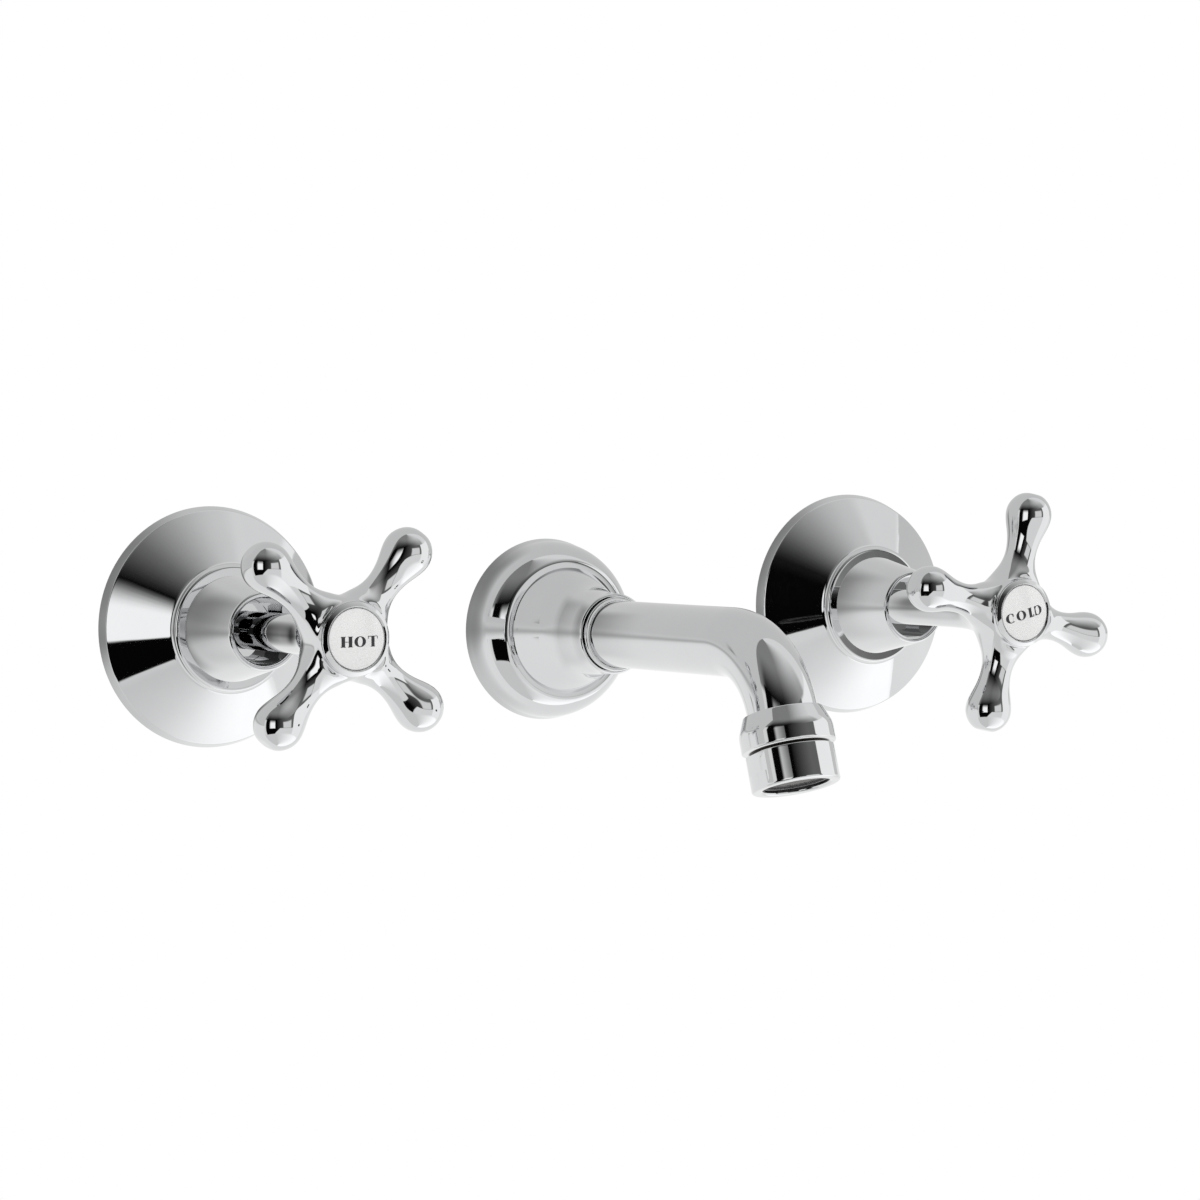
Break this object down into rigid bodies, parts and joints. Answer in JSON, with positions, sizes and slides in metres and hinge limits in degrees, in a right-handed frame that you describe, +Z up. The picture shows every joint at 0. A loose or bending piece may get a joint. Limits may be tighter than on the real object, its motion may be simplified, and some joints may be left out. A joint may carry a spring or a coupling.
{
  "type": "wall mixer tap",
  "caption": "Three-hole wall mixer tap: chromed cross-handled hot and cold valves beside a bent spout with aerator, joined by a concealed brass breech.",
  "frame": {"origin": "centre of the spout's wall flange, on the finished face of the wall", "axes": "+X to the right along the wall as seen from the room (cold side), +Y into the wall, +Z up"},
  "size_m": [0.2857, 0.2042, 0.0798],
  "materials": {
    "chrome": "polished chrome plate",
    "brass": "turned and cast brass",
    "copper": "drawn copper tube",
    "white_ceramic": "glazed white",
    "rubber": "moulded black rubber",
    "fibre": "pressed red fibre",
    "steel": "stainless steel",
    "grey_plastic": "moulded plastic"
  },
  "bodies": {
    "wall_fittings": {"hot_wall_flange": "chrome", "hot_sleeve": "chrome", "hot_bonnet": "chrome", "hot_body_washer": "fibre", "hot_gland_packing": "rubber", "hot_gland_nut": "chrome", "hot_valve_body": "brass", "hot_cross_tube": "copper", "cold_wall_flange": "chrome", "cold_sleeve": "chrome", "cold_bonnet": "chrome", "cold_body_washer": "fibre", "cold_gland_packing": "rubber", "cold_gland_nut": "chrome", "cold_valve_body": "brass", "cold_cross_tube": "copper", "mixing_tee": "brass", "spout_nipple": "brass", "spout_seal": "fibre", "spout_flange": "chrome", "spout_neck_ring": "chrome", "spout_tube": "chrome", "spout_end_collar": "chrome", "aerator_washer": "rubber", "aerator_insert": "grey_plastic", "aerator_mesh": "steel", "aerator_housing": "chrome"},
    "hot_jumper": {"hot_jumper_valve": "brass", "hot_jumper_washer": "rubber"},
    "hot_cross_handle": {"hot_spindle": "brass", "hot_handle": "chrome", "hot_handle_screw": "steel", "hot_button_bezel": "chrome", "hot_index_button": "white_ceramic"},
    "cold_jumper": {"cold_jumper_valve": "brass", "cold_jumper_washer": "rubber"},
    "cold_cross_handle": {"cold_spindle": "brass", "cold_handle": "chrome", "cold_handle_screw": "steel", "cold_button_bezel": "chrome", "cold_index_button": "white_ceramic"}
  },
  "joints": [
    {"name": "hot_lift", "type": "slide", "parent": "wall_fittings", "child": "hot_jumper", "axis": [0, -1, 0], "range_m": [0, 0.00375]},
    {"name": "hot_turn", "type": "hinge", "parent": "hot_jumper", "child": "hot_cross_handle", "pos_m": [-0.1085, 0, 0.0042], "axis": [0, -1, 0], "range_deg": [0, 450]},
    {"name": "cold_lift", "type": "slide", "parent": "wall_fittings", "child": "cold_jumper", "axis": [0, -1, 0], "range_m": [0, 0.00375]},
    {"name": "cold_turn", "type": "hinge", "parent": "cold_jumper", "child": "cold_cross_handle", "pos_m": [0.1085, 0, 0.0042], "axis": [0, -1, 0], "range_deg": [0, 450]}
  ],
  "couplings": [
    {"joint": "hot_turn", "follows": "hot_lift", "rad_per_m": 2094.4},
    {"joint": "cold_turn", "follows": "cold_lift", "rad_per_m": 2094.4}
  ]
}
